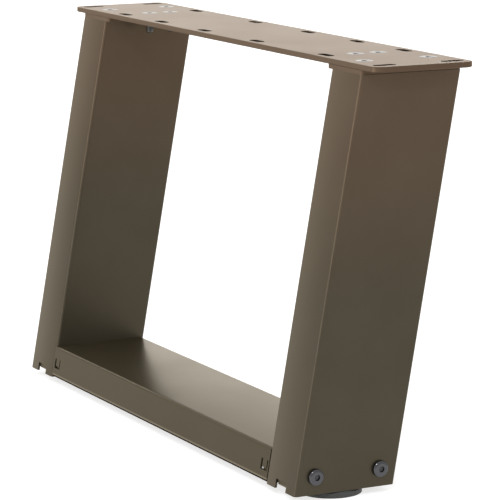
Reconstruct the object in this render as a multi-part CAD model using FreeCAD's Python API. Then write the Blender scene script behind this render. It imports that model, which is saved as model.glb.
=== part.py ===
"""U shaped table leg: a slotted top plate, two leaning folded posts and a base rail on levelling feet.

Millimetres. The origin is the middle of the top plate's upper face, where the table top rests.
X runs along the plate, the posts' feet reach towards -Y, and Z points up.
"""
import FreeCAD, Part
import math
import os

from FreeCAD import Vector

# Overall
STEEL_HEIGHT = 373.0
LEAN_DEG = 10.2

# Top plate
PLATE_LENGTH = 640.0
PLATE_WIDTH = 100.0
PLATE_THICKNESS = 5.0
PLATE_CORNER_RADIUS = 10.0
PLATE_EDGE_CHAMFER = 0.6

# Slots for the table top's screws
SLOT_LENGTH = 22.0
SLOT_WIDTH = 8.5
LONG_SLOT_INSET = 10.5
END_SLOT_INSET = 13.5
END_SLOT_SPACING = 67.0
CORNER_SLOT_SETBACK = 20.8
FRONT_MIDDLE_SLOTS = (-127.0, -31.0, 79.0)

# Posts
POST_OVERHANG = 24.0
POST_WIDTH = 55.0
POST_SETBACK = 0.5
POST_WALL = 2.0
POST_BEND_RADIUS = 3.0

# Cap plates between the top plate and the posts
CAP_THICKNESS = 4.0
CAP_OUTER_SETBACK = 0.8
CAP_INNER_OVERHANG = 7.3
CAP_CORNER_RADIUS = 3.0
TONGUE_MARGIN = 12.0

# Countersunk screws that hold the top plate
SCREW_DIAMETER = 8.0
SCREW_LENGTH = 20.0
SCREW_HEAD_DIAMETER = 16.0
SCREW_SOCKET = 5.0
SCREW_SOCKET_DEPTH = 2.6
OUTER_SCREW_SPACING = 64.0
INNER_SCREW_SPACING = 23.0
INNER_SCREW_SETBACK = 17.9

# Base rail
RAIL_HEIGHT = 31.0
RAIL_RAISE = 0.5
RAIL_SETBACK = 0.3
RAIL_SHEET = 2.0
RAIL_BEND_RADIUS = 2.4
RAIL_LIP = 14.0

# End plates inside the rail
END_PLATE_THICKNESS = 8.0
END_PLATE_SETBACK = 4.3
END_PLATE_BEND_GAP = 1.0
END_TAB_HEIGHT = 7.4
END_TAB_RECESS = 0.3
WINDOW_SIDE_GAP = 2.4
WINDOW_BOTTOM_GAP = 2.2

# Bolts that hold the rail
BOLT_DIAMETER = 8.0
BOLT_LENGTH = 70.0
BOLT_HEAD_DIAMETER = 14.6
BOLT_HEAD_HEIGHT = 4.0
BOLT_HEAD_RIM = 2.6
BOLT_CROWN_DIAMETER = 9.0
BOLT_SOCKET = 5.0
BOLT_SOCKET_DEPTH = 2.4
BOLT_RAISE = 16.0
BOLT_SPACING = 64.0
SLEEVE_WALL = 2.5

# Foot plates in the posts' bottoms
FOOT_PLATE_THICKNESS = 5.0
FOOT_PLATE_RAISE = 3.5
FOOT_PLATE_SHOULDER = 6.0
FOOT_TAB_WIDTH = 16.0
FOOT_TAB_RECESS = 1.5
NOTCH_SIDE_GAP = 1.8

# Levelling feet
STUD_DIAMETER = 10.0
STUD_LENGTH = 31.0
NUT_ACROSS_FLATS = 17.0
NUT_HEIGHT = 8.0
PAD_DIAMETER = 57.0
PAD_HEIGHT = 5.6
PAD_STANDOFF = 0.4
PAD_SHOULDER = 1.2
PAD_SOLE = 1.8
PAD_BOSS_DIAMETER = 24.0
PAD_BOSS_GAP = 0.4

# Clearances
SEAT_GAP = 0.1
THREAD_GAP = 0.2
HOLE_GAP = 0.5
STUD_GAP = 0.3

# Levels and places that follow from the sizes above
LEAN = math.tan(math.radians(LEAN_DEG))
LEAN_STRETCH = 1.0 / math.cos(math.radians(LEAN_DEG))
CAP_TOP = -PLATE_THICKNESS
POST_TOP = CAP_TOP - CAP_THICKNESS
POST_BOTTOM = -STEEL_HEIGHT
POST_OUTER = PLATE_LENGTH / 2 - POST_OVERHANG
POST_INNER = POST_OUTER - POST_WIDTH
POST_MIDDLE = (POST_OUTER + POST_INNER) / 2
POST_DEPTH = PLATE_WIDTH - 2 * POST_SETBACK
CAP_INNER = POST_INNER - CAP_INNER_OVERHANG
INNER_SCREW_X = CAP_INNER - INNER_SCREW_SETBACK
RAIL_BOTTOM = POST_BOTTOM + RAIL_RAISE
RAIL_TOP = RAIL_BOTTOM + RAIL_HEIGHT
RAIL_REACH = POST_DEPTH / 2 - RAIL_SETBACK
BOLT_LEVEL = POST_BOTTOM + BOLT_RAISE
END_PLATE_OUTER = POST_INNER - END_PLATE_SETBACK
FOOT_PLATE_BOTTOM = POST_BOTTOM + FOOT_PLATE_RAISE
FOOT_PLATE_TOP = FOOT_PLATE_BOTTOM + FOOT_PLATE_THICKNESS
PAD_TOP = POST_BOTTOM - PAD_STANDOFF
PAD_BOTTOM = PAD_TOP - PAD_HEIGHT

X_AXIS = Vector(1, 0, 0)
Y_AXIS = Vector(0, 1, 0)
Z_AXIS = Vector(0, 0, 1)


def lean_shift(z):
    """Y of a post's middle line at height z."""
    return (z - POST_TOP) * LEAN


FOOT_Y = lean_shift(POST_BOTTOM)
BOLT_YS = [lean_shift(BOLT_LEVEL) + side * BOLT_SPACING / 2 for side in (-1, 1)]
SCREW_PLACES = [(POST_MIDDLE, side * OUTER_SCREW_SPACING / 2) for side in (-1, 1)]
SCREW_PLACES += [(INNER_SCREW_X, side * INNER_SCREW_SPACING / 2) for side in (-1, 1)]


def block(x_low, x_high, y_low, y_high, z_low, z_high):
    """Box between two corners."""
    return Part.makeBox(x_high - x_low, y_high - y_low, z_high - z_low, Vector(x_low, y_low, z_low))


def rod(radius, start, axis, length):
    """Round rod from a start point along an axis."""
    return Part.makeCylinder(radius, length, start, axis)


def turned(profile, start, axis):
    """Solid of revolution from (radius, distance along the axis) corners, closed on the axis."""
    corners = [Vector(radius, 0, along) for radius, along in profile]
    face = Part.Face(Part.makePolygon(corners + corners[:1]))
    solid = face.revolve(Vector(), Z_AXIS, 360)
    solid.Placement = FreeCAD.Placement(start, FreeCAD.Rotation(Z_AXIS, axis))
    return solid


def hexagon(across_flats, start, axis, length):
    """Hexagonal prism from a start point along an axis."""
    radius = across_flats / math.sqrt(3)
    angles = [math.radians(60 * step) for step in range(6)]
    corners = [Vector(radius * math.cos(angle), radius * math.sin(angle), 0) for angle in angles]
    prism = Part.Face(Part.makePolygon(corners + corners[:1])).extrude(Z_AXIS * length)
    prism.Placement = FreeCAD.Placement(start, FreeCAD.Rotation(Z_AXIS, axis))
    return prism


def edges_along(shape, direction):
    """Straight edges of a shape that run along a direction."""
    found = []
    for edge in shape.Edges:
        span = edge.Vertexes[-1].Point - edge.Vertexes[0].Point
        if span.Length > 0 and span.cross(direction).Length < 1e-6 * span.Length * direction.Length:
            found.append(edge)
    return found


def mirrored(shape):
    """The left twin of a right hand shape."""
    return shape.mirror(Vector(), X_AXIS)


def slot(x, y, run, z_low, z_high):
    """Round ended slot cutter at x, y that runs along the unit vector run."""
    reach = run * (SLOT_LENGTH - SLOT_WIDTH) / 2
    across = Vector(-run.y, run.x, 0) * SLOT_WIDTH / 2
    middle = Vector(x, y, z_low)
    near, far = middle - reach, middle + reach
    outline = [
        Part.makeLine(near - across, far - across),
        Part.Arc(far - across, far + run * SLOT_WIDTH / 2, far + across).toShape(),
        Part.makeLine(far + across, near + across),
        Part.Arc(near + across, near - run * SLOT_WIDTH / 2, near - across).toShape(),
    ]
    return Part.Face(Part.Wire(outline)).extrude(Z_AXIS * (z_high - z_low))


def slot_cutters():
    """All fourteen slots: the two long edges match when the plate is turned end for end."""
    corner_x = CAP_INNER - CORNER_SLOT_SETBACK
    along_front = (-corner_x,) + FRONT_MIDDLE_SLOTS + (corner_x,)
    row_y = PLATE_WIDTH / 2 - LONG_SLOT_INSET
    end_x = PLATE_LENGTH / 2 - END_SLOT_INSET
    cutters = []
    for turn in (1, -1):
        for x in along_front:
            cutters.append(slot(turn * x, -turn * row_y, X_AXIS, -PLATE_THICKNESS, 0))
        for side in (-1, 1):
            cutters.append(slot(turn * end_x, side * END_SLOT_SPACING / 2, Y_AXIS, -PLATE_THICKNESS, 0))
    return cutters


def countersink(x, y):
    """Cutter for one screw's seat: its cone and its clearance hole."""
    head = SCREW_HEAD_DIAMETER / 2 + SEAT_GAP
    hole = SCREW_DIAMETER / 2 + HOLE_GAP
    profile = [(0, 0), (head, 0), (hole, head - hole), (hole, PLATE_THICKNESS), (0, PLATE_THICKNESS)]
    return turned(profile, Vector(x, y, 0), -Z_AXIS)


def make_top_plate():
    """Flat plate with rounded corners, broken edges, slots and countersinks."""
    half_length, half_width = PLATE_LENGTH / 2, PLATE_WIDTH / 2
    plate = block(-half_length, half_length, -half_width, half_width, -PLATE_THICKNESS, 0)
    plate = plate.makeFillet(PLATE_CORNER_RADIUS, edges_along(plate, Z_AXIS))
    rims = [edge for face in plate.Faces if abs(face.normalAt(0, 0).z) > 0.9 for edge in face.Edges]
    plate = plate.makeChamfer(PLATE_EDGE_CHAMFER, rims)
    seats = [countersink(side * x, y) for x, y in SCREW_PLACES for side in (-1, 1)]
    return plate.cut(slot_cutters() + seats)


def make_screw(x, y):
    """Countersunk socket screw, flush with the plate's upper face."""
    head, shank = SCREW_HEAD_DIAMETER / 2, SCREW_DIAMETER / 2
    profile = [(0, 0), (head, 0), (shank, head - shank), (shank, SCREW_LENGTH), (0, SCREW_LENGTH)]
    screw = turned(profile, Vector(x, y, 0), -Z_AXIS)
    return screw.cut(hexagon(SCREW_SOCKET, Vector(x, y, 0), -Z_AXIS, SCREW_SOCKET_DEPTH))


def make_plate_screws():
    """The four screws of one end."""
    return Part.makeCompound([make_screw(x, y) for x, y in SCREW_PLACES])


def make_cap_plate():
    """Plate on the post's top, with a tongue under the two inboard screws and four tapped holes."""
    half_depth = POST_DEPTH / 2
    body = block(CAP_INNER, POST_OUTER - CAP_OUTER_SETBACK, -half_depth, half_depth, POST_TOP, CAP_TOP)
    body = body.makeFillet(CAP_CORNER_RADIUS, edges_along(body, Z_AXIS))
    half_tongue = INNER_SCREW_SPACING / 2 + TONGUE_MARGIN
    tongue = block(INNER_SCREW_X - TONGUE_MARGIN, POST_MIDDLE, -half_tongue, half_tongue, POST_TOP, CAP_TOP)
    tongue = tongue.makeFillet(CAP_CORNER_RADIUS, edges_along(tongue, Z_AXIS))
    tap = SCREW_DIAMETER / 2 + THREAD_GAP
    tapped = [rod(tap, Vector(x, y, POST_TOP), Z_AXIS, CAP_THICKNESS) for x, y in SCREW_PLACES]
    return body.fuse(tongue).removeSplitter().cut(tapped)


def leaning_block(x_low, x_high, reach, z_low, z_high):
    """Prism that leans with the posts between two levels, by its reach each way from their middle line."""
    middle = lean_shift(z_high)
    corners = [
        Vector(x_low, middle - reach, z_high),
        Vector(x_high, middle - reach, z_high),
        Vector(x_high, middle + reach, z_high),
        Vector(x_low, middle + reach, z_high),
    ]
    run = Vector(0, lean_shift(z_low) - middle, z_low - z_high)
    return Part.Face(Part.makePolygon(corners + corners[:1])).extrude(run)


def rounded_along(shape, direction, radius):
    """Rounds the edges of a shape that run along a direction."""
    return shape.makeFillet(radius, edges_along(shape, direction))


def bolt_holes(radius, x_low, x_high):
    """Cutters for the two base bolts' holes between two X places."""
    return [rod(radius, Vector(x_low, y, BOLT_LEVEL), X_AXIS, x_high - x_low) for y in BOLT_YS]


def make_post():
    """Folded rectangular tube that leans, with bolt holes and a notch in each narrow face."""
    reach = POST_DEPTH / 2
    clear = reach - POST_WALL * LEAN_STRETCH
    lean_line = Vector(0, LEAN, 1)
    outside = leaning_block(POST_INNER, POST_OUTER, reach, POST_BOTTOM, POST_TOP)
    inside = leaning_block(POST_INNER + POST_WALL, POST_OUTER - POST_WALL, clear, POST_BOTTOM, POST_TOP)
    tube = rounded_along(outside, lean_line, POST_BEND_RADIUS)
    tube = tube.cut(rounded_along(inside, lean_line, POST_BEND_RADIUS - POST_WALL))
    half_notch = FOOT_TAB_WIDTH / 2 + NOTCH_SIDE_GAP
    notch = block(POST_MIDDLE - half_notch, POST_MIDDLE + half_notch,
                  FOOT_Y - POST_DEPTH, FOOT_Y + POST_DEPTH, POST_BOTTOM, FOOT_PLATE_TOP)
    return tube.cut([notch] + bolt_holes(BOLT_DIAMETER / 2 + HOLE_GAP, POST_INNER, POST_OUTER))


def rail_prism(half_length, inset, radius):
    """Leaning section along X, inset from the rail's outside by a sheet's thickness."""
    reach = RAIL_REACH - inset * LEAN_STRETCH
    shape = leaning_block(-half_length, half_length, reach, RAIL_BOTTOM + inset, RAIL_TOP - inset)
    return rounded_along(shape, X_AXIS, radius)


def make_base_rail():
    """Channel folded from sheet: a top web, two leaning flanges and a lip under each."""
    rail = rail_prism(POST_INNER, 0, RAIL_BEND_RADIUS)
    rail = rail.cut(rail_prism(POST_INNER, RAIL_SHEET, RAIL_BEND_RADIUS - RAIL_SHEET))
    mouth = leaning_block(-POST_INNER, POST_INNER, RAIL_REACH - RAIL_LIP,
                          RAIL_BOTTOM, RAIL_BOTTOM + RAIL_SHEET)
    tab_top = BOLT_LEVEL + END_TAB_HEIGHT / 2
    x_high = END_PLATE_OUTER + WINDOW_SIDE_GAP
    x_low = END_PLATE_OUTER - END_PLATE_THICKNESS - WINDOW_SIDE_GAP
    middle = lean_shift(BOLT_LEVEL)
    window = block(x_low, x_high, middle - POST_DEPTH, middle + POST_DEPTH,
                   tab_top - END_TAB_HEIGHT - WINDOW_BOTTOM_GAP, tab_top)
    return rail.cut([mouth, window, mirrored(window)])


def make_rail_end_plate():
    """Thick plate across the rail, held by a tab in each flange's window, with two tapped holes."""
    x_low = END_PLATE_OUTER - END_PLATE_THICKNESS
    bend_room = RAIL_BEND_RADIUS + END_PLATE_BEND_GAP
    body = leaning_block(x_low, END_PLATE_OUTER, RAIL_REACH - RAIL_SHEET * LEAN_STRETCH,
                         RAIL_BOTTOM + bend_room, RAIL_TOP - bend_room)
    tabs = leaning_block(x_low, END_PLATE_OUTER, RAIL_REACH - END_TAB_RECESS,
                         BOLT_LEVEL - END_TAB_HEIGHT / 2, BOLT_LEVEL + END_TAB_HEIGHT / 2)
    plate = body.fuse(tabs).removeSplitter()
    return plate.cut(bolt_holes(BOLT_DIAMETER / 2 + THREAD_GAP, x_low, END_PLATE_OUTER))


def make_base_bolt(y):
    """Socket bolt with a low tapered head, from the post's outer face into the rail's end plate."""
    rim, shank, crown = BOLT_HEAD_DIAMETER / 2, BOLT_DIAMETER / 2, BOLT_CROWN_DIAMETER / 2
    profile = [(0, -BOLT_HEAD_HEIGHT), (crown, -BOLT_HEAD_HEIGHT), (rim, -BOLT_HEAD_RIM), (rim, 0)]
    profile += [(shank, 0), (shank, BOLT_LENGTH), (0, BOLT_LENGTH)]
    seat = Vector(POST_OUTER, y, BOLT_LEVEL)
    bolt = turned(profile, seat, -X_AXIS)
    socket = hexagon(BOLT_SOCKET, seat + X_AXIS * BOLT_HEAD_HEIGHT, -X_AXIS, BOLT_SOCKET_DEPTH)
    return bolt.cut(socket)


def make_base_bolts():
    """The two bolts of one post."""
    return Part.makeCompound([make_base_bolt(y) for y in BOLT_YS])


def make_bolt_sleeves():
    """Spacer tubes between the post's wide walls, one round each bolt."""
    bore = BOLT_DIAMETER / 2 + HOLE_GAP
    start, length = POST_INNER + POST_WALL, POST_WIDTH - 2 * POST_WALL
    sleeves = []
    for y in BOLT_YS:
        outside = rod(bore + SLEEVE_WALL, Vector(start, y, BOLT_LEVEL), X_AXIS, length)
        sleeves.append(outside.cut(rod(bore, Vector(start, y, BOLT_LEVEL), X_AXIS, length)))
    return Part.makeCompound(sleeves)


def make_foot_plate():
    """Plate across the post's bottom, between the wide walls, with a tab in each notch."""
    middle = lean_shift((FOOT_PLATE_BOTTOM + FOOT_PLATE_TOP) / 2)
    half_width = POST_WIDTH / 2 - POST_WALL
    reach = POST_DEPTH / 2 - POST_WALL * LEAN_STRETCH - FOOT_PLATE_SHOULDER
    tab_reach = POST_DEPTH / 2 - FOOT_TAB_RECESS
    body = block(POST_MIDDLE - half_width, POST_MIDDLE + half_width, middle - reach, middle + reach,
                 FOOT_PLATE_BOTTOM, FOOT_PLATE_TOP)
    tabs = block(POST_MIDDLE - FOOT_TAB_WIDTH / 2, POST_MIDDLE + FOOT_TAB_WIDTH / 2,
                 middle - tab_reach, middle + tab_reach, FOOT_PLATE_BOTTOM, FOOT_PLATE_TOP)
    hole_start = Vector(POST_MIDDLE, FOOT_Y, FOOT_PLATE_BOTTOM)
    hole = rod(STUD_DIAMETER / 2 + HOLE_GAP, hole_start, Z_AXIS, FOOT_PLATE_THICKNESS)
    return body.fuse(tabs).removeSplitter().cut(hole)


def make_foot_nut():
    """Hexagon nut on the foot plate."""
    seat = Vector(POST_MIDDLE, FOOT_Y, FOOT_PLATE_TOP)
    nut = hexagon(NUT_ACROSS_FLATS, seat, Z_AXIS, NUT_HEIGHT)
    return nut.cut(rod(STUD_DIAMETER / 2 + STUD_GAP, seat, Z_AXIS, NUT_HEIGHT))


def make_foot_stud():
    """Threaded stud of a levelling foot, drawn at its outside diameter."""
    return rod(STUD_DIAMETER / 2, Vector(POST_MIDDLE, FOOT_Y, PAD_BOTTOM + PAD_SOLE), Z_AXIS, STUD_LENGTH)


def make_foot_pad():
    """Moulded round pad with a bevelled shoulder and a boss round the stud."""
    radius, boss = PAD_DIAMETER / 2, PAD_BOSS_DIAMETER / 2
    bore = STUD_DIAMETER / 2 + STUD_GAP
    boss_top = FOOT_PLATE_BOTTOM - PAD_BOSS_GAP - PAD_BOTTOM
    profile = [(0, 0), (radius, 0), (radius, PAD_HEIGHT - PAD_SHOULDER), (radius - PAD_SHOULDER, PAD_HEIGHT)]
    profile += [(boss, PAD_HEIGHT), (boss, boss_top), (bore, boss_top), (bore, PAD_SOLE), (0, PAD_SOLE)]
    return turned(profile, Vector(POST_MIDDLE, FOOT_Y, PAD_BOTTOM), Z_AXIS)


# Pieces that come in a left and a right hand twin, drawn on the right
SIDE_PIECES = {
    "post": make_post,
    "cap_plate": make_cap_plate,
    "plate_screws": make_plate_screws,
    "rail_end_plate": make_rail_end_plate,
    "base_bolts": make_base_bolts,
    "bolt_sleeves": make_bolt_sleeves,
    "foot_plate": make_foot_plate,
    "foot_nut": make_foot_nut,
    "foot_stud": make_foot_stud,
    "foot_pad": make_foot_pad,
}


def main():
    """Writes every piece to its own file."""
    os.makedirs("parts", exist_ok=True)
    pieces = {"top_plate": make_top_plate(), "base_rail": make_base_rail()}
    for name, make in SIDE_PIECES.items():
        right = make()
        pieces["right_" + name] = right
        pieces["left_" + name] = mirrored(right)
    for name, shape in pieces.items():
        shape.exportStep("parts/" + name + ".step")
        print(name, len(shape.Solids), "solids", round(shape.Volume), "mm3", shape.isValid())


main()
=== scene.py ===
import math

import bpy
from mathutils import Euler, Matrix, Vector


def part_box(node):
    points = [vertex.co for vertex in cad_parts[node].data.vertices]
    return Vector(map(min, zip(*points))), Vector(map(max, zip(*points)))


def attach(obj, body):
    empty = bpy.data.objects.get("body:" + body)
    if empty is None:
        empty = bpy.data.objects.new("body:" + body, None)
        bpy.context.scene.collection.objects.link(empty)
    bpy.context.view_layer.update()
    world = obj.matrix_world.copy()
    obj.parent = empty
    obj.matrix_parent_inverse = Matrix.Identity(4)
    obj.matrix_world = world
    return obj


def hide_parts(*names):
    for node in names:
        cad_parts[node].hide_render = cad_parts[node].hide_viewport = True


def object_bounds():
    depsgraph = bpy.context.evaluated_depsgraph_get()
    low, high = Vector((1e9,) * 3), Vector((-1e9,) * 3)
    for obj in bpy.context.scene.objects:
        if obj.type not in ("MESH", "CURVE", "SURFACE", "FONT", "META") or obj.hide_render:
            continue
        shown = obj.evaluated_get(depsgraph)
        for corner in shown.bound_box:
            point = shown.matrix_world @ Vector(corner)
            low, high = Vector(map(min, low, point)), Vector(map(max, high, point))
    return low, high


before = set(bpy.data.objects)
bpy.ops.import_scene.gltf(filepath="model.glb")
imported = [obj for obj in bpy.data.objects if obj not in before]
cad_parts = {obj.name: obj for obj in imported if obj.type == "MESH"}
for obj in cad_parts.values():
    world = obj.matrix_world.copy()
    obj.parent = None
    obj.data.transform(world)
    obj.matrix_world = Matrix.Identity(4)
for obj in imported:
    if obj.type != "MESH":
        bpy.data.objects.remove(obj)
CAD_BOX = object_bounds()

bl_info = {
    "name": "U Table Leg Finish",
    "version": (1, 0, 0),
    "blender": (4, 5, 0),
    "location": "View3D > Sidebar > Table Leg",
    "description": "Coats the steel of a U shaped table leg and models its screws, bolts and studs",
    "category": "Object",
}

SIDES = ("left", "right")
MAIN_BODY = "frame"
WHITE = (1.0, 1.0, 1.0, 1.0)
BLACK = (0.0, 0.0, 0.0, 1.0)

# Nodes by the finish that they share
POST_NODES = ["left_post", "right_post"]
PLATE_NODES = ["top_plate", "left_cap_plate", "right_cap_plate"]
RAIL_NODES = ["base_rail", "left_rail_end_plate", "right_rail_end_plate",
              "left_foot_plate", "right_foot_plate"]
INNER_STEEL_NODES = ["left_bolt_sleeves", "right_bolt_sleeves", "left_foot_nut", "right_foot_nut"]
PAD_NODES = ["left_foot_pad", "right_foot_pad"]

# Fasteners, in metres: sockets, the chamfer at a thread's free end and where its ridge stops
SCREW_SOCKET_DEPTH = 0.0026
BOLT_SOCKET_DEPTH = 0.0024
# Reach of the sockets' painted shade past their corners, as a share of the corner radius
SOCKET_SHADE_MARGIN = 1.05
SOCKET_SINK = 0.0002
LEAD_CHAMFER = 0.0008
LEAD_STOP = 0.0006
BOLT_THREAD = 0.022

# Share of the base bolts' rim that has the dark finish of their shanks: painted shade along the rim's lower
# side
RIM_SHADE_SHARE = 0.9

# Levelling studs, in metres: the plain collar by the pad, the neck over it and the upper end
STUD_COLLAR = 0.003
STUD_NECK = 0.004
STUD_TIP = 0.0006
STUD_RUNOUT = 0.0004

# Metric thread: depth, sunk root and half width of a flank, as shares of the pitch
THREAD_DEPTH = 0.61
THREAD_SINK = 0.2
THREAD_FLANK = 0.44

# Grain of each finish: scales of its peel, mottle and flecks
PLATED_GRAIN = (2400.0, 160.0, 1800.0)
PAD_GRAIN = (1500.0, 60.0, 2200.0)
FLOOR_GRAIN = (90.0, 3.0, 400.0)
COAT_MOTTLE = 14.0
COAT_FLECK = 3200.0
FLECK_EDGES = (0.34, 0.16)

# Relief of each finish: depth in metres and strength
COAT_PEEL = (0.00004, 0.15)
PLATED_PEEL = (0.00002, 0.35)
PAD_PEEL = (0.00008, 0.6)

# Coat: shares of the leg's height where olive begins and warm ends, and how far mottle and flecks show; the
# darker olive by the floor is painted shade
OLIVE_BELOW = 0.55
WARM_ABOVE = 0.1
MOTTLE_DARK = 0.09
MOTTLE_LIGHT = 0.02
MOTTLE_TINT = (1.0, 0.96, 0.9, 1.0)
FLECK_SHARE = 0.15
SATIN_SWING = 0.04
COAT_IOR = 1.5

# Plating and plastic: the tone that dulls or lightens them, and the swing of their roughness
PLATING_GRIME = (0.05, 0.05, 0.05, 1.0)
PLATING_SWING = (0.12, -0.06)
PAD_BLOOM = (0.6, 0.6, 0.58, 1.0)
PAD_BLOOM_SHARE = 0.06
PAD_ROUGHNESS = (0.42, 0.62)

# A face of the rail whose normal points further down than this is a flat underside and not a bend, and gets
# no painted shade
LIP_FACING = -0.97

# Stage, in metres: the floor's size and its gap under the pads, and the camera's sensor in millimetres
FLOOR_SIZE = 40.0
FLOOR_GAP = 0.0001
FLOOR_DIM = 0.97
FLOOR_ROUGHNESS = 0.9
SENSOR_WIDTH = 36.0

# Each lamp's place, width and height, in metres
LAMPS = {
    "overhead": ((0.4, -0.9, 2.0), 2.4, 2.4),
    "back": ((-3.8, 2.3, 0.45), 3.0, 1.05),
    "front": ((0.1, -2.3, 0.1), 0.9, 1.2),
    "edge": ((-2.1, -0.5, 0.60), 0.9, 0.4),
    "key": ((1.55, -0.95, 1.0), 0.16, 0.16),
}


class TableLegCoat(bpy.types.PropertyGroup):
    """Colours and grain of the powder coat on plates, posts and rail."""

    warm_colour: bpy.props.FloatVectorProperty(
        name="Warm Bronze", description="Coat's colour near the table top", subtype="COLOR",
        size=3, min=0.0, max=1.0, default=(0.094, 0.061, 0.036))
    # Painted shade: the posts' colour grows darker and more olive towards the floor, in place of the weaker
    # light down there
    olive_shade_colour: bpy.props.FloatVectorProperty(
        name="Olive Bronze", description="Coat's colour near the floor", subtype="COLOR",
        size=3, min=0.0, max=1.0, default=(0.0555, 0.045, 0.0275))
    plate_colour: bpy.props.FloatVectorProperty(
        name="Plate Bronze", description="Coat's colour on the top plate and its caps", subtype="COLOR",
        size=3, min=0.0, max=1.0, default=(0.102, 0.062, 0.036))
    # Painted shade: the rail's coat is a copy of the posts' coat with a darker colour, less metal and a
    # weaker glint, so that it renders darker under the same lamps
    rail_colour: bpy.props.FloatVectorProperty(
        name="Rail Bronze", description="Coat's colour on the base rail and the plates inside the posts",
        subtype="COLOR", size=3, min=0.0, max=1.0, default=(0.0475, 0.0375, 0.0195))
    fleck_colour: bpy.props.FloatVectorProperty(
        name="Metal Fleck", description="Colour of the fine metal flecks in the coat", subtype="COLOR",
        size=3, min=0.0, max=1.0, default=(0.20, 0.16, 0.11))
    # Painted shade: this dark colour on the cut walls of the plate's slots and on the rail's lower bend
    # stands in for the shade that falls there
    painted_shade_colour: bpy.props.FloatVectorProperty(
        name="Slot Wall Shade", description="Colour of the thin dark coat on the slots' cut walls",
        subtype="COLOR", size=3, min=0.0, max=1.0, default=(0.016, 0.012, 0.009))
    roughness: bpy.props.FloatProperty(
        name="Satin", description="Mean roughness of the coat", subtype="FACTOR",
        min=0.0, max=1.0, default=0.38)
    plate_roughness: bpy.props.FloatProperty(
        name="Plate Satin", description="Mean roughness of the coat on the plates", subtype="FACTOR",
        min=0.0, max=1.0, default=0.42)
    rail_roughness: bpy.props.FloatProperty(
        name="Rail Satin", description="Mean roughness of the coat on the base rail", subtype="FACTOR",
        min=0.0, max=1.0, default=0.36)
    rail_bow: bpy.props.FloatProperty(
        name="Rail Bow", description="How far the shading of the rail's sheet falls away to its front fold",
        unit="LENGTH", min=0.0, default=0.005)
    # Painted shade and painted highlight: a dark band along the rail's lower bend and a light line just
    # above it stand in for the shaded floor and the bright floor that the bend reflects
    lip_shade_height: bpy.props.FloatProperty(
        name="Rail Lip Shade", description="Height of the thinly coated lip along the rail's lower edge",
        unit="LENGTH", min=0.0, default=0.0024)
    lip_highlight_height: bpy.props.FloatProperty(
        name="Lip Highlight Height", description="Height of the rubbed line above the rail's lip",
        unit="LENGTH", min=0.0, default=0.0015)
    lip_highlight_colour: bpy.props.FloatVectorProperty(
        name="Lip Highlight Colour", description="Colour of the rubbed line above the rail's lip", subtype="COLOR",
        size=3, min=0.0, max=1.0, default=(0.18, 0.15, 0.11))
    post_bow: bpy.props.FloatProperty(
        name="Post Bow", description="How far the shading of the posts' narrow faces falls to the folds",
        unit="LENGTH", min=0.0, default=0.0018)
    metal_share: bpy.props.FloatProperty(
        name="Metal Share", description="Share of metal pigment in the coat", subtype="FACTOR",
        min=0.0, max=1.0, default=0.6)
    # Part of the rail's shaded copy of the coat
    rail_metal: bpy.props.FloatProperty(
        name="Rail Metal Share", description="Share of metal pigment in the rail's duller coat",
        subtype="FACTOR", min=0.0, max=1.0, default=0.42)
    glint_colour: bpy.props.FloatVectorProperty(
        name="Glint", description="Tint of the coat's reflection at a low angle", subtype="COLOR",
        size=3, min=0.0, max=1.0, default=(1.0, 0.88, 0.70))
    plate_glint: bpy.props.FloatVectorProperty(
        name="Plate Glint", description="Tint of the reflection on the plates' warmer coat",
        subtype="COLOR", size=3, min=0.0, max=1.0, default=(1.0, 0.85, 0.675))
    # Painted shade: the weaker glint dims the rail's reflections
    rail_glint: bpy.props.FloatVectorProperty(
        name="Rail Glint", description="Tint of the reflection on the rail's duller coat", subtype="COLOR",
        size=3, min=0.0, max=1.0, default=(0.66, 0.55, 0.37))
    peel_size: bpy.props.FloatProperty(
        name="Orange Peel", description="Spacing of the coat's fine orange peel", unit="LENGTH",
        min=0.0002, default=0.0016)


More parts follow.
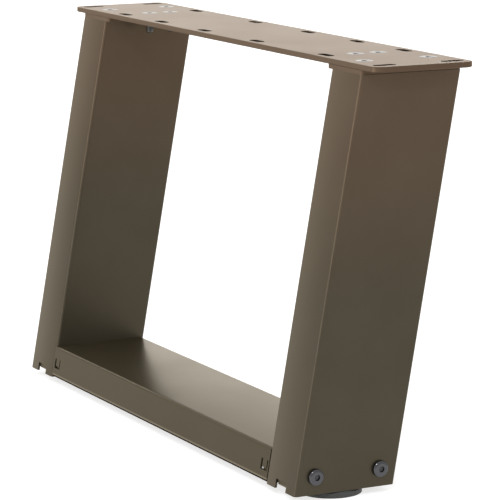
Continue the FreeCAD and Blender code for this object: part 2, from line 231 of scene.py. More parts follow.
class TableLegHardware(bpy.types.PropertyGroup):
    """Sizes and colours of screws, bolts, studs and pads."""

    zinc_colour: bpy.props.FloatVectorProperty(
        name="Zinc", description="Colour of the zinc plated countersunk screws", subtype="COLOR",
        size=3, min=0.0, max=1.0, default=(0.36, 0.355, 0.34))
    # Painted shade: the dark zinc in the plate screws' sockets stands in for the shade inside them
    screw_socket_shade_colour: bpy.props.FloatVectorProperty(
        name="Screw Socket Shade", description="Colour of the plate screws' sockets", subtype="COLOR",
        size=3, min=0.0, max=1.0, default=(0.045, 0.047, 0.045))
    # Painted shade: the threads' zinc is a darker copy of the heads' zinc, for the shade under the plate
    # where their ends show
    thread_colour: bpy.props.FloatVectorProperty(
        name="Thread Zinc", description="Colour of the plate screws' threads", subtype="COLOR",
        size=3, min=0.0, max=1.0, default=(0.11, 0.108, 0.10))
    gunmetal_colour: bpy.props.FloatVectorProperty(
        name="Gunmetal", description="Colour of the dark base bolts", subtype="COLOR",
        size=3, min=0.0, max=1.0, default=(0.095, 0.095, 0.10))
    # Painted shade on the base bolts' rims, and the colour of their threads
    rim_shade_and_thread_colour: bpy.props.FloatVectorProperty(
        name="Bolt Rim Shade and Thread", description="Colour of the base bolts' rims and threads",
        subtype="COLOR", size=3, min=0.0, max=1.0, default=(0.035, 0.035, 0.037))
    # Painted shade: the darker steel in the base bolts' sockets stands in for the shade inside them
    bolt_socket_shade_colour: bpy.props.FloatVectorProperty(
        name="Bolt Socket Shade", description="Colour of the worn steel in the base bolts' sockets",
        subtype="COLOR", size=3, min=0.0, max=1.0, default=(0.075, 0.075, 0.08))
    steel_colour: bpy.props.FloatVectorProperty(
        name="Plain Steel", description="Colour of nuts, sleeves and studs", subtype="COLOR",
        size=3, min=0.0, max=1.0, default=(0.52, 0.52, 0.52))
    pad_colour: bpy.props.FloatVectorProperty(
        name="Pad", description="Colour of the moulded foot pads", subtype="COLOR",
        size=3, min=0.0, max=1.0, default=(0.034, 0.036, 0.033))
    inner_spacing: bpy.props.FloatProperty(
        name="Inner Screw Spacing", description="Distance between the two inboard plate screws",
        unit="LENGTH", min=0.0, default=0.023)
    screw_shank: bpy.props.FloatProperty(
        name="Screw Diameter", description="Outside diameter of the plate screws' thread", unit="LENGTH",
        min=0.001, default=0.008)
    screw_head: bpy.props.FloatProperty(
        name="Screw Head", description="Diameter of the plate screws' countersunk heads", unit="LENGTH",
        min=0.001, default=0.016)
    bolt_crown: bpy.props.FloatProperty(
        name="Bolt Crown", description="Diameter of the flat on the base bolts' heads", unit="LENGTH",
        min=0.001, default=0.009)
    bolt_rim: bpy.props.FloatProperty(
        name="Bolt Rim", description="Height of the upright rim of the base bolts' heads", unit="LENGTH",
        min=0.0, default=0.0026)
    socket_width: bpy.props.FloatProperty(
        name="Hex Socket", description="Width across the flats of the hexagon sockets", unit="LENGTH",
        min=0.001, default=0.005)
    fine_pitch: bpy.props.FloatProperty(
        name="Screw Pitch", description="Thread pitch of the screws and bolts", unit="LENGTH",
        min=0.0002, default=0.00125)
    stud_pitch: bpy.props.FloatProperty(
        name="Stud Pitch", description="Thread pitch of the levelling studs", unit="LENGTH",
        min=0.0002, default=0.0015)


class TableLegStage(bpy.types.PropertyGroup):
    """Floor, light and camera."""

    floor_colour: bpy.props.FloatVectorProperty(
        name="Floor", description="Colour of the pale floor", subtype="COLOR",
        size=3, min=0.0, max=1.0, default=(0.58, 0.58, 0.58))
    floor_glow: bpy.props.FloatProperty(
        name="Floor Glow", description="How much the floor is lifted to white for the eye",
        subtype="FACTOR", min=0.0, max=1.0, default=0.70)
    azimuth: bpy.props.FloatProperty(
        name="Azimuth", description="Camera's turn round the leg from its front", subtype="ANGLE",
        default=math.radians(63.161))
    elevation: bpy.props.FloatProperty(
        name="Elevation", description="Camera's downward tilt", subtype="ANGLE",
        default=math.radians(10.167))
    roll: bpy.props.FloatProperty(
        name="Roll", description="Camera's turn about its own line of sight", subtype="ANGLE",
        default=math.radians(-0.217))
    eye: bpy.props.FloatVectorProperty(
        name="Camera Place", description="Where the camera stands", subtype="TRANSLATION", unit="LENGTH",
        size=3, default=(2.4268, -1.2355, 0.2768))
    lens: bpy.props.FloatProperty(
        name="Lens", description="Focal length on a 36 mm sensor, in millimetres", min=1.0, default=206.5)
    sky_strength: bpy.props.FloatProperty(
        name="Sky", description="Strength of the even white surround", min=0.0, default=0.80)
    overhead_power: bpy.props.FloatProperty(
        name="Overhead Light", description="Power of the large lamp overhead", subtype="POWER",
        min=0.0, default=6.0)
    back_power: bpy.props.FloatProperty(
        name="Back Light", description="Power of the low soft lamp behind the leg", subtype="POWER",
        min=0.0, default=31.0)
    front_power: bpy.props.FloatProperty(
        name="Front Light", description="Power of the tall lamp in front of the posts", subtype="POWER",
        min=0.0, default=15.0)
    edge_power: bpy.props.FloatProperty(
        name="Edge Light", description="Power of the lamp that glances off the rail's upper bend",
        subtype="POWER", min=0.0, default=4.0)
    key_power: bpy.props.FloatProperty(
        name="Key Light", description="Power of the small lamp that glints on the bolts", subtype="POWER",
        min=0.0, default=6.0)


# Modelling helpers

def only(obj):
    """Selects one object and makes it active."""
    bpy.ops.object.select_all(action="DESELECT")
    obj.select_set(True)
    bpy.context.view_layer.objects.active = obj


def settle(obj):
    """Moves an object's place into its mesh, so that the object sits at the origin."""
    only(obj)
    bpy.ops.object.transform_apply(location=True, rotation=True, scale=True)


def apply_modifier(obj, kind, **values):
    """Adds a modifier, sets its values and applies it."""
    modifier = obj.modifiers.new(kind.title(), kind)
    for key, value in values.items():
        setattr(modifier, key, value)
    only(obj)
    bpy.ops.object.modifier_apply(modifier=modifier.name)


def turned(name, profile, segments=48):
    """Turned piece on the Z axis: a disc extruded and resized through (radius, height) steps."""
    bpy.ops.object.select_all(action="DESELECT")
    radius, height = profile[0]
    bpy.ops.mesh.primitive_circle_add(
        vertices=segments, radius=radius, fill_type="NGON", location=(0, 0, height))
    obj = bpy.context.object
    obj.name = name
    settle(obj)
    bpy.ops.object.mode_set(mode="EDIT")
    bpy.ops.mesh.select_all(action="SELECT")
    for next_radius, next_height in profile[1:]:
        bpy.ops.mesh.extrude_region_move(TRANSFORM_OT_translate={"value": (0, 0, next_height - height)})
        ratio = next_radius / radius
        bpy.ops.transform.resize(value=(ratio, ratio, 1), center_override=(0, 0, next_height))
        radius, height = next_radius, next_height
    bpy.ops.mesh.select_all(action="SELECT")
    bpy.ops.mesh.normals_make_consistent(inside=False)
    bpy.ops.object.mode_set(mode="OBJECT")
    return obj


def cut_socket(obj, across_flats, top, depth):
    """Cuts a hexagon socket into the top of a turned head."""
    bpy.ops.object.select_all(action="DESELECT")
    bpy.ops.mesh.primitive_cylinder_add(
        vertices=6, radius=across_flats / math.sqrt(3), depth=2 * depth, location=(0, 0, top))
    cutter = bpy.context.object
    apply_modifier(obj, "BOOLEAN", operation="DIFFERENCE", solver="EXACT", object=cutter)
    bpy.data.objects.remove(cutter, do_unlink=True)


def soften(obj, width, angle_deg=30.0):
    """Rounds sharp edges a little and shades the rest smooth."""
    angle = math.radians(angle_deg)
    apply_modifier(obj, "BEVEL", width=width, segments=2, limit_method="ANGLE", angle_limit=angle)
    only(obj)
    bpy.ops.object.shade_smooth_by_angle(angle=angle)


def thread_depth(pitch):
    """Depth of a metric thread's flank."""
    return THREAD_DEPTH * pitch


def wind_thread(obj, crest, pitch, top, bottom, steps=28):
    """Winds a closed V ridge round a turned core between two heights and joins it to the core."""
    root = crest - thread_depth(pitch)
    turns = int((top - bottom) / pitch) - 1
    bpy.ops.object.select_all(action="DESELECT")
    bpy.ops.mesh.primitive_circle_add(
        vertices=3, radius=1.0, fill_type="NOTHING", rotation=(math.pi / 2, 0, 0), location=(0, 0, 0))
    ridge = bpy.context.object
    settle(ridge)
    sunk = root - THREAD_SINK * pitch
    tip_z = max(v.co.z for v in ridge.data.vertices)
    for vertex in ridge.data.vertices:
        is_tip = vertex.co.z > tip_z - 1e-6
        flank = 0.0 if is_tip else math.copysign(THREAD_FLANK * pitch, vertex.co.x)
        vertex.co = (crest if is_tip else sunk, 0, top - pitch / 2 + flank)
    apply_modifier(ridge, "SCREW", axis="Z", angle=math.tau, screw_offset=-pitch, iterations=turns,
                   steps=steps, render_steps=steps, use_merge_vertices=False)
    bpy.ops.object.mode_set(mode="EDIT")
    bpy.ops.mesh.select_all(action="SELECT")
    bpy.ops.mesh.fill_holes(sides=3)
    bpy.ops.mesh.select_all(action="SELECT")
    bpy.ops.mesh.normals_make_consistent(inside=False)
    bpy.ops.object.mode_set(mode="OBJECT")
    only(obj)
    ridge.select_set(True)
    bpy.ops.object.join()


def copies_at(model, name, places, turn=(0, 0, 0)):
    """Copies a model to each place, joins the copies into one piece and settles it."""
    made = []
    for place in places:
        twin = model.copy()
        twin.data = model.data.copy()
        bpy.context.scene.collection.objects.link(twin)
        twin.location = place
        twin.rotation_euler = turn
        made.append(twin)
    only(made[0])
    for twin in made[1:]:
        twin.select_set(True)
    if len(made) > 1:
        bpy.ops.object.join()
    made[0].name = name
    settle(made[0])
    return made[0]


def plate_fastener(obj, head, socket, shank, across_flats, top, skirt):
    """Gives a screw's head, its socket and all below the head's skirt their own finishes. The socket's dark
    finish is painted shade, and on the base bolts the finish below the skirt also paints shade on the rim's
    lower side.
    """
    finishes = list(dict.fromkeys((head, socket, shank)))
    for material in finishes:
        obj.data.materials.append(material)
    socket_shade_reach = SOCKET_SHADE_MARGIN * across_flats / math.sqrt(3)
    for polygon in obj.data.polygons:
        middle = polygon.center
        finish = shank if middle.z < skirt else head
        # The socket and a little round it take the socket finish, which is painted shade
        if math.hypot(middle.x, middle.y) < socket_shade_reach and middle.z < top - SOCKET_SINK:
            finish = socket
        polygon.material_index = finishes.index(finish)


def seat(piece, node, body):
    """Stands a modelled piece in for a node, on its body."""
    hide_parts(node)
    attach(piece, body)


def dress(names, material):
    """Gives one finish to nodes that keep their own shape."""
    for name in names:
        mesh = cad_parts[name].data
        mesh.materials.clear()
        mesh.materials.append(material)


# Shader helpers

def add_node(tree, kind, inputs=None, **values):
    """Adds a shader node, sets its own values, then its sockets' values or links."""
    node = tree.nodes.new(kind)
    for key, value in values.items():
        setattr(node, key, value)
    for key, value in (inputs or {}).items():
        if isinstance(value, bpy.types.NodeSocket):
            tree.links.new(value, node.inputs[key])
        else:
            node.inputs[key].default_value = value
    return node


def rgba(colour):
    """Colour with full alpha."""
    return (*colour, 1.0)


def mixed(tree, factor, first, second):
    """Colour output of a mix between two colours or colour sockets."""
    node = add_node(tree, "ShaderNodeMix", data_type="RGBA")
    for index, value in ((0, factor), (6, first), (7, second)):
        if isinstance(value, bpy.types.NodeSocket):
            tree.links.new(value, node.inputs[index])
        else:
            node.inputs[index].default_value = value
    return node.outputs[2]


def spread(tree, value, low, high):
    """Maps a 0 to 1 value to a range."""
    node = add_node(tree, "ShaderNodeMapRange", {"Value": value, "To Min": low, "To Max": high})
    return node.outputs["Result"]


def new_material(name):
    """Node material with a Principled surface; gives the material, its tree and that shader."""
    material = bpy.data.materials.new(name)
    material.use_nodes = True
    tree = material.node_tree
    return material, tree, tree.nodes["Principled BSDF"]


def surface_grain():
    """Shared group: fine peel, broad mottle and small flecks, all on the object's own place."""
    name = "Surface grain"
    if name in bpy.data.node_groups:
        return bpy.data.node_groups[name]
    group = bpy.data.node_groups.new(name, "ShaderNodeTree")
    group.interface.new_socket("Vector", in_out="INPUT", socket_type="NodeSocketVector")
    for socket, default in (("Peel Scale", 600.0), ("Mottle Scale", 18.0), ("Fleck Scale", 2600.0)):
        made = group.interface.new_socket(socket, in_out="INPUT", socket_type="NodeSocketFloat")
        made.default_value = default
    for socket in ("Peel", "Mottle", "Fleck"):
        group.interface.new_socket(socket, in_out="OUTPUT", socket_type="NodeSocketFloat")
    start = group.nodes.new("NodeGroupInput")
    end = group.nodes.new("NodeGroupOutput")
    where = start.outputs["Vector"]
    peel = add_node(group, "ShaderNodeTexNoise", {"Vector": where, "Scale": start.outputs["Peel Scale"],
                                                  "Detail": 2.0, "Roughness": 0.45})
    broad = add_node(group, "ShaderNodeTexNoise", {"Vector": where, "Scale": start.outputs["Mottle Scale"],
                                                   "Detail": 4.0, "Roughness": 0.6})
    cells = add_node(group, "ShaderNodeTexVoronoi",
                     {"Vector": where, "Scale": start.outputs["Fleck Scale"]})
    rim, heart = FLECK_EDGES
    fleck = add_node(group, "ShaderNodeMapRange",
                     {"Value": cells.outputs["Distance"], "From Min": rim, "From Max": heart})
    group.links.new(peel.outputs["Fac"], end.inputs["Peel"])
    group.links.new(broad.outputs["Fac"], end.inputs["Mottle"])
    group.links.new(fleck.outputs["Result"], end.inputs["Fleck"])
    return group


def place_grain(tree, peel, mottle, fleck):
    """Places the shared grain in a material, with its own scales."""
    where = add_node(tree, "ShaderNodeTexCoord").outputs["Object"]
    node = add_node(tree, "ShaderNodeGroup", node_tree=surface_grain())
    tree.links.new(where, node.inputs["Vector"])
    for key, value in (("Peel Scale", peel), ("Mottle Scale", mottle), ("Fleck Scale", fleck)):
        node.inputs[key].default_value = value
    return where, node.outputs


def relief(tree, shader, height, distance, strength, normal=None):
    """Feeds a height to the shader's normal as bump, over another bump's normal where one is given."""
    bump = add_node(tree, "ShaderNodeBump", {"Height": height, "Distance": distance, "Strength": strength})
    if normal is not None:
        tree.links.new(normal, bump.inputs["Normal"])
    tree.links.new(bump.outputs["Normal"], shader.inputs["Normal"])


def sheet_bow(tree, across, crest, fold, fall):
    """Normal of a folded sheet that falls away a little from its crest to its fold."""
    share = add_node(tree, "ShaderNodeMapRange",
                     {"Value": across, "From Min": crest, "From Max": fold}, clamp=False)
    share = share.outputs["Result"]
    curve = add_node(tree, "ShaderNodeMath", {0: share, 1: share}, operation="MULTIPLY")
    bump = add_node(tree, "ShaderNodeBump",
                    {"Height": curve.outputs["Value"], "Distance": -fall, "Strength": 1.0})
    return bump.outputs["Normal"]


def rail_bow(tree, where):
    """Bow of the rail's upper face, from its back to its front fold."""
    low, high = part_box("base_rail")
    reach = add_node(tree, "ShaderNodeSeparateXYZ", {"Vector": where}).outputs["Y"]
    return sheet_bow(tree, reach, high.y, low.y, bpy.context.scene.table_leg_coat.rail_bow)


def post_bow(tree, where):
    """Bow of the posts' narrow faces, from their middle to the folds beside them."""
    low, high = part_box("right_post")
    side = add_node(tree, "ShaderNodeSeparateXYZ", {"Vector": where}).outputs["X"]
    side = add_node(tree, "ShaderNodeMath", {0: side}, operation="ABSOLUTE").outputs["Value"]
    return sheet_bow(tree, side, (low.x + high.x) / 2, high.x, bpy.context.scene.table_leg_coat.post_bow)


def compare(tree, value, limit, operation):
    """Gives 1 where a value is above or below a limit, as the operation says."""
    return add_node(tree, "ShaderNodeMath", {0: value, 1: limit}, operation=operation).outputs["Value"]


def slot_wall_shade(tree, where, skin=0.0004, border=0.004):
    """Gives 1 on the cut walls of the top plate's slots, inside its border and between its two faces, where
    shade is painted.
    """
    low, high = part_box("top_plate")
    place = add_node(tree, "ShaderNodeSeparateXYZ", {"Vector": where}).outputs
    across = add_node(tree, "ShaderNodeMath", {0: place["X"]}, operation="ABSOLUTE").outputs["Value"]
    along = add_node(tree, "ShaderNodeMath", {0: place["Y"]}, operation="ABSOLUTE").outputs["Value"]
    tests = [
        compare(tree, across, high.x - border, "LESS_THAN"),
        compare(tree, along, high.y - border, "LESS_THAN"),
        compare(tree, place["Z"], high.z - skin, "LESS_THAN"),
        compare(tree, place["Z"], low.z + skin, "GREATER_THAN"),
    ]
    wall = tests[0]
    for test in tests[1:]:
        wall = add_node(tree, "ShaderNodeMath", {0: wall, 1: test}, operation="MULTIPLY").outputs["Value"]
    return wall


def rail_lip_shade_and_highlight(tree, where):
    """Gives 1 on the painted shade along the rail's lower bends, and 1 on the painted highlight line above
    them.
    """
    coat = bpy.context.scene.table_leg_coat
    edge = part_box("base_rail")[0].z
    level = add_node(tree, "ShaderNodeSeparateXYZ", {"Vector": where}).outputs["Z"]
    painted_shade = compare(tree, level, edge + coat.lip_shade_height, "LESS_THAN")
    both = compare(tree, level, edge + coat.lip_shade_height + coat.lip_highlight_height, "LESS_THAN")
    painted_highlight = add_node(tree, "ShaderNodeMath", {0: both, 1: painted_shade}, operation="SUBTRACT").outputs["Value"]
    facing = add_node(tree, "ShaderNodeNewGeometry").outputs["Normal"]
    upright = add_node(tree, "ShaderNodeSeparateXYZ", {"Vector": facing}).outputs["Z"]
    bend = compare(tree, upright, LIP_FACING, "GREATER_THAN")
    painted_shade = add_node(tree, "ShaderNodeMath", {0: painted_shade, 1: bend}, operation="MULTIPLY").outputs["Value"]
    return painted_shade, painted_highlight


def bronze_coat(name, high_colour, low_colour, roughness, glint, metal, bow=None, lip=None):
    """Satin bronze powder coat that drifts from one tone by the table top to another by the floor; on the
    posts the darker tone by the floor is painted shade.
    """
    coat = bpy.context.scene.table_leg_coat
    material, tree, shader = new_material(name)
    where, grain = place_grain(tree, 1.0 / coat.peel_size, COAT_MOTTLE, COAT_FLECK)
    floor = CAD_BOX[0].z
    level = add_node(tree, "ShaderNodeSeparateXYZ", {"Vector": where}).outputs["Z"]
    # Painted shade: the colour drifts darker towards the floor
    drift = add_node(tree, "ShaderNodeMapRange",
                     {"Value": level, "From Min": OLIVE_BELOW * floor, "From Max": WARM_ABOVE * floor})
    base = mixed(tree, drift.outputs["Result"], rgba(low_colour), rgba(high_colour))
    darker = mixed(tree, MOTTLE_DARK, base, BLACK)
    lighter = mixed(tree, MOTTLE_LIGHT, base, MOTTLE_TINT)
    mottled = mixed(tree, grain["Mottle"], darker, lighter)
    speck = add_node(tree, "ShaderNodeMath", {0: grain["Fleck"], 1: FLECK_SHARE}, operation="MULTIPLY")
    flecked = mixed(tree, speck.outputs["Value"], mottled, rgba(coat.fleck_colour))
    # Painted shade on the cut walls of the plate's slots
    shaded = mixed(tree, slot_wall_shade(tree, where), flecked, rgba(coat.painted_shade_colour))
    satin = spread(tree, grain["Mottle"], roughness - SATIN_SWING, roughness + SATIN_SWING)
    shader.inputs["Metallic"].default_value = metal
    # Painted highlight, then painted shade, along the rail's lower bend; the shaded band is also made fully
    # metallic and rough so that it reflects less
    if lip:
        painted_shade, painted_highlight = lip(tree, where)
        shaded = mixed(tree, painted_highlight, shaded, rgba(coat.lip_highlight_colour))
        shaded = mixed(tree, painted_shade, shaded, rgba(coat.painted_shade_colour))
        satin = add_node(tree, "ShaderNodeMath", {0: satin, 1: painted_shade}, operation="MAXIMUM").outputs["Value"]
        tree.links.new(spread(tree, painted_shade, metal, 1.0), shader.inputs["Metallic"])
    tree.links.new(shaded, shader.inputs["Base Color"])
    tree.links.new(satin, shader.inputs["Roughness"])
    shader.inputs["Specular Tint"].default_value = rgba(glint)
    shader.inputs["IOR"].default_value = COAT_IOR
    normal = bow(tree, where) if bow else None
    relief(tree, shader, grain["Peel"], *COAT_PEEL, normal)
    return material


def plated_metal(name, colour, shine, grime):
    """Plated steel with patchy shine and fine tool marks."""
    material, tree, shader = new_material(name)
    _, grain = place_grain(tree, *PLATED_GRAIN)
    shade_finish = mixed(tree, grime, rgba(colour), PLATING_GRIME)
    tree.links.new(mixed(tree, grain["Mottle"], shade_finish, rgba(colour)), shader.inputs["Base Color"])
    dullest, brightest = PLATING_SWING
    patchy = spread(tree, grain["Mottle"], shine + dullest, shine + brightest)
    tree.links.new(patchy, shader.inputs["Roughness"])
    shader.inputs["Metallic"].default_value = 1.0
    relief(tree, shader, grain["Peel"], *PLATED_PEEL)
    return material


def moulded_plastic(name, colour):
    """Dark moulded plastic with a fine spark grain."""
    material, tree, shader = new_material(name)
    _, grain = place_grain(tree, *PAD_GRAIN)
    pale = mixed(tree, PAD_BLOOM_SHARE, rgba(colour), PAD_BLOOM)
    tree.links.new(mixed(tree, grain["Mottle"], rgba(colour), pale), shader.inputs["Base Color"])
    tree.links.new(spread(tree, grain["Peel"], *PAD_ROUGHNESS), shader.inputs["Roughness"])
    relief(tree, shader, grain["Peel"], *PAD_PEEL)
    return material


class TABLELEG_OT_coat_steel(bpy.types.Operator):
    """Coats the top plate, caps, posts, rail and inner plates in satin bronze"""

    bl_idname = "table_leg.coat_steel"
    bl_label = "Coat Steel"

    def execute(self, context):
        coat = context.scene.table_leg_coat
        plates = bronze_coat("Bronze coat on plates", coat.plate_colour, coat.plate_colour,
                             coat.plate_roughness, coat.plate_glint, coat.metal_share)
        posts = bronze_coat("Bronze coat on posts", coat.warm_colour, coat.olive_shade_colour,
                            coat.roughness, coat.glint_colour, coat.metal_share, post_bow)
        # The rail gets the shaded copy of the coat
        rail = bronze_coat("Bronze coat on rail", coat.rail_colour, coat.rail_colour,
                           coat.rail_roughness, coat.rail_glint, coat.rail_metal, rail_bow, rail_lip_shade_and_highlight)
        dress(PLATE_NODES, plates)
        dress(POST_NODES, posts)
        dress(RAIL_NODES, rail)
        return {"FINISHED"}


class TABLELEG_OT_plate_screws(bpy.types.Operator):
    """Models the zinc countersunk screws with their hexagon sockets and threads"""

    bl_idname = "table_leg.plate_screws"
    bl_label = "Plate Screws"

    def execute(self, context):
        size = context.scene.table_leg_hardware
        zinc = plated_metal("Bright zinc", size.zinc_colour, shine=0.40, grime=0.2)
        # The sockets' finish is painted shade
        shade_finish = plated_metal("Dull zinc", size.screw_socket_shade_colour, shine=0.46, grime=0.4)
        # Darker copy of the zinc: painted shade on the threads
        thread = plated_metal("Zinc on threads", size.thread_colour, shine=0.3, grime=0.3)
        low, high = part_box("right_plate_screws")
        crest = size.screw_shank / 2
        core = crest - thread_depth(size.fine_pitch)
        head = size.screw_head / 2
        length = high.z - low.z
        top = high.z
        profile = [
            (head, 0.0),
            (crest, crest - head),
            (core, core - head),
            (core, LEAD_CHAMFER - length),
            (core - LEAD_CHAMFER, -length),
        ]
        screw = turned("plate_screw_model", profile)
        cut_socket(screw, size.socket_width, 0.0, SCREW_SOCKET_DEPTH)
        soften(screw, width=0.00012)
        wind_thread(screw, crest, size.fine_pitch, crest - head, LEAD_STOP - length)
        plate_fastener(screw, zinc, shade_finish, thread, size.socket_width, 0.0, crest - head)
        for side in SIDES:
            low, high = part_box(side + "_plate_screws")
            outer_x, inner_x = high.x - head, low.x + head
            if side == "left":
                outer_x, inner_x = low.x + head, high.x - head
            outer_y = high.y - head
            places = [(outer_x, sign * outer_y, top) for sign in (-1, 1)]
            places += [(inner_x, sign * size.inner_spacing / 2, top) for sign in (-1, 1)]
            piece = copies_at(screw, "zinc_screws_" + side, places)
            seat(piece, side + "_plate_screws", MAIN_BODY)
        bpy.data.objects.remove(screw, do_unlink=True)
        return {"FINISHED"}


class TABLELEG_OT_base_bolts(bpy.types.Operator):
    """Models the domed bolts that hold the rail between the posts"""

    bl_idname = "table_leg.base_bolts"
    bl_label = "Base Bolts"

    def execute(self, context):
        size = context.scene.table_leg_hardware
        gunmetal = plated_metal("Gunmetal plate", size.gunmetal_colour, shine=0.17, grime=0.25)
        # The shank finish also paints shade on most of the rim's side
        shade_finish = plated_metal("Dull gunmetal", size.rim_shade_and_thread_colour, shine=0.5, grime=0.4)
        # The socket finish is painted shade
        socket = plated_metal("Worn socket", size.bolt_socket_shade_colour, shine=0.3, grime=0.4)
        low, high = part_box("right_base_bolts")
        rim = (high.z - low.z) / 2
        head_height = high.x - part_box("right_post")[1].x
        reach = high.x - low.x - head_height
        crest = size.screw_shank / 2
        core = crest - thread_depth(size.fine_pitch)
        shank_end = BOLT_THREAD - reach
        crown, rim_height = size.bolt_crown / 2, size.bolt_rim
        rise = head_height - rim_height
        dome = ((rim - crown) ** 2 + rise ** 2) / (2 * rise)
        sweep = math.asin((rim - crown) / dome)
        steps = 6
        profile = [(crown, head_height)]
        for step in range(1, steps + 1):
            angle = sweep * step / steps
            profile.append((crown + dome * math.sin(angle), head_height - dome * (1 - math.cos(angle))))
        profile += [
            (rim, 0.0),
            (crest, 0.0),
            (crest, shank_end),
            (core, shank_end - (crest - core)),
            (core, LEAD_CHAMFER - reach),
            (core - LEAD_CHAMFER, -reach),
        ]
        bolt = turned("base_bolt_model", profile, segments=64)
        cut_socket(bolt, size.socket_width, head_height, BOLT_SOCKET_DEPTH)
        soften(bolt, width=0.00015, angle_deg=24.0)
        wind_thread(bolt, crest, size.fine_pitch, shank_end, LEAD_STOP - reach)
        plate_fastener(bolt, gunmetal, socket, shade_finish, size.socket_width, head_height, RIM_SHADE_SHARE * rim_height)
        for side in SIDES:
            low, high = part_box(side + "_base_bolts")
            post_low, post_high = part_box(side + "_post")
            face, lean = (post_high.x, 1) if side == "right" else (post_low.x, -1)
            level = (low.z + high.z) / 2
            places = [(face, low.y + rim, level), (face, high.y - rim, level)]
            piece = copies_at(bolt, "base_bolts_" + side, places, (0, lean * math.pi / 2, 0))
            seat(piece, side + "_base_bolts", MAIN_BODY)
        bpy.data.objects.remove(bolt, do_unlink=True)
        return {"FINISHED"}


class TABLELEG_OT_levelling_feet(bpy.types.Operator):
    """Models the threaded studs and finishes the moulded pads"""

    bl_idname = "table_leg.levelling_feet"
    bl_label = "Levelling Feet"

    def execute(self, context):
        size = context.scene.table_leg_hardware
        steel = plated_metal("Plain steel on studs", size.steel_colour, shine=0.34, grime=0.3)
        dress(PAD_NODES, moulded_plastic("Moulded pad", size.pad_colour))
        for side in SIDES:
            low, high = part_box(side + "_foot_stud")
            crest = (high.x - low.x) / 2
            core = crest - thread_depth(size.stud_pitch)
            length = high.z - low.z
            profile = [
                (core - STUD_TIP, length),
                (core, length - LEAD_CHAMFER),
                (core, STUD_NECK),
                (crest, STUD_COLLAR),
                (crest, 0.0),
            ]
            stud = turned("foot_stud_model_" + side, profile)
            soften(stud, width=0.0001)
            wind_thread(stud, crest, size.stud_pitch, length - STUD_RUNOUT, STUD_COLLAR)
            stud.data.materials.append(steel)
            place = ((low.x + high.x) / 2, (low.y + high.y) / 2, low.z)
            piece = copies_at(stud, "levelling_stud_" + side, [place])
            seat(piece, side + "_foot_stud", side + "_stud")
            bpy.data.objects.remove(stud, do_unlink=True)
        return {"FINISHED"}


class TABLELEG_OT_inner_steel(bpy.types.Operator):
    """Finishes the sleeves and nuts inside the posts"""

    bl_idname = "table_leg.inner_steel"
    bl_label = "Inner Steel"

    def execute(self, context):
        size = context.scene.table_leg_hardware
        steel = plated_metal("Plain steel inside", size.steel_colour, shine=0.4, grime=0.35)
        dress(INNER_STEEL_NODES, steel)
        return {"FINISHED"}


def white_to_eye(tree):
    """Factor that is 1 where a camera, glossy or see-through ray looks."""
    path = add_node(tree, "ShaderNodeLightPath")
    seen = path.outputs["Is Camera Ray"]
    for ray in ("Is Glossy Ray", "Is Transmission Ray"):
        node = add_node(tree, "ShaderNodeMath", {0: seen, 1: path.outputs[ray]}, operation="MAXIMUM")
        seen = node.outputs["Value"]
    return seen


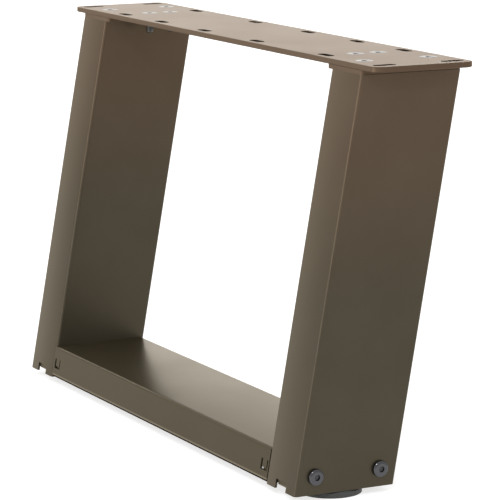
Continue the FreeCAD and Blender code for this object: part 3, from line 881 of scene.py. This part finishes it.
class TABLELEG_OT_stage(bpy.types.Operator):
    """Sets the pale floor, the soft light and the camera"""

    bl_idname = "table_leg.stage"
    bl_label = "Stage"

    def execute(self, context):
        stage = context.scene.table_leg_stage
        self.lay_floor(stage)
        self.light(context, stage)
        self.aim_camera(context, stage)
        context.scene.view_settings.view_transform = "Standard"
        return {"FINISHED"}

    def lay_floor(self, stage):
        """Lays a wide pale floor under the pads."""
        bpy.ops.object.select_all(action="DESELECT")
        bpy.ops.mesh.primitive_plane_add(size=FLOOR_SIZE, location=(0, 0, CAD_BOX[0].z - FLOOR_GAP))
        floor = bpy.context.object
        floor.name = "studio_floor"
        settle(floor)
        material, tree, shader = new_material("Pale floor")
        _, grain = place_grain(tree, *FLOOR_GRAIN)
        dim = [FLOOR_DIM * part for part in stage.floor_colour]
        pale = mixed(tree, grain["Mottle"], rgba(dim), rgba(stage.floor_colour))
        tree.links.new(pale, shader.inputs["Base Color"])
        shader.inputs["Roughness"].default_value = FLOOR_ROUGHNESS
        shader.inputs["Specular IOR Level"].default_value = 0.0
        shader.inputs["Emission Color"].default_value = WHITE
        glow = add_node(tree, "ShaderNodeMath",
                        {0: white_to_eye(tree), 1: stage.floor_glow}, operation="MULTIPLY")
        tree.links.new(glow.outputs["Value"], shader.inputs["Emission Strength"])
        floor.data.materials.append(material)

    def light(self, context, stage):
        """Gives an even white surround, soft lamps round the leg and a small one by the eye."""
        world = bpy.data.worlds.new("White surround")
        world.use_nodes = True
        tree = world.node_tree
        background = tree.nodes["Background"]
        background.inputs["Color"].default_value = WHITE
        path = add_node(tree, "ShaderNodeLightPath")
        level = spread(tree, path.outputs["Is Camera Ray"], stage.sky_strength, 1.0)
        tree.links.new(level, background.inputs["Strength"])
        context.scene.world = world
        for name, (place, width, height) in LAMPS.items():
            self.hang_lamp(name + "_light", place, width, height, getattr(stage, name + "_power"))

    def hang_lamp(self, name, place, width, height, power):
        """Hangs a soft lamp that faces the middle of the leg."""
        bpy.ops.object.select_all(action="DESELECT")
        bpy.ops.object.light_add(type="AREA", location=place)
        lamp = bpy.context.object
        lamp.name = name
        lamp.data.shape = "RECTANGLE"
        lamp.data.size = width
        lamp.data.size_y = height
        lamp.data.energy = power
        lamp.visible_camera = False
        middle = (CAD_BOX[0] + CAD_BOX[1]) / 2
        lamp.rotation_euler = (middle - lamp.location).to_track_quat("-Z", "Y").to_euler()

    def aim_camera(self, context, stage):
        """Stands the camera where the photograph was taken from."""
        bpy.ops.object.select_all(action="DESELECT")
        level = Euler((math.pi / 2 - stage.elevation, 0, stage.azimuth)).to_matrix()
        turn = (level @ Matrix.Rotation(stage.roll, 3, "Z")).to_euler()
        bpy.ops.object.camera_add(location=stage.eye, rotation=turn)
        camera = context.object
        camera.data.sensor_width = SENSOR_WIDTH
        camera.data.lens = stage.lens
        context.scene.camera = camera


OPERATORS = (
    TABLELEG_OT_coat_steel,
    TABLELEG_OT_plate_screws,
    TABLELEG_OT_base_bolts,
    TABLELEG_OT_levelling_feet,
    TABLELEG_OT_inner_steel,
    TABLELEG_OT_stage,
)


class TABLELEG_PT_finish(bpy.types.Panel):
    """Lists the leg's settings and the operators that make its pieces"""

    bl_idname = "TABLELEG_PT_finish"
    bl_label = "Table Leg"
    bl_space_type = "VIEW_3D"
    bl_region_type = "UI"
    bl_category = "Table Leg"

    def draw(self, context):
        column = self.layout.column()
        scene = context.scene
        for group in (scene.table_leg_coat, scene.table_leg_hardware, scene.table_leg_stage):
            for key in group.__annotations__:
                column.prop(group, key)
        for operator in OPERATORS:
            column.operator(operator.bl_idname)


CLASSES = (TableLegCoat, TableLegHardware, TableLegStage, *OPERATORS, TABLELEG_PT_finish)


def register():
    """Registers the classes and hangs the settings on the scene."""
    for cls in CLASSES:
        bpy.utils.register_class(cls)
    bpy.types.Scene.table_leg_coat = bpy.props.PointerProperty(type=TableLegCoat)
    bpy.types.Scene.table_leg_hardware = bpy.props.PointerProperty(type=TableLegHardware)
    bpy.types.Scene.table_leg_stage = bpy.props.PointerProperty(type=TableLegStage)


def unregister():
    """Takes the settings and the classes away again."""
    del bpy.types.Scene.table_leg_stage
    del bpy.types.Scene.table_leg_hardware
    del bpy.types.Scene.table_leg_coat
    for cls in reversed(CLASSES):
        bpy.utils.unregister_class(cls)


def main():
    """Makes every piece in order."""
    register()
    bpy.ops.table_leg.coat_steel()
    bpy.ops.table_leg.plate_screws()
    bpy.ops.table_leg.base_bolts()
    bpy.ops.table_leg.levelling_feet()
    bpy.ops.table_leg.inner_steel()
    bpy.ops.table_leg.stage()


if __name__ == "__main__":
    main()
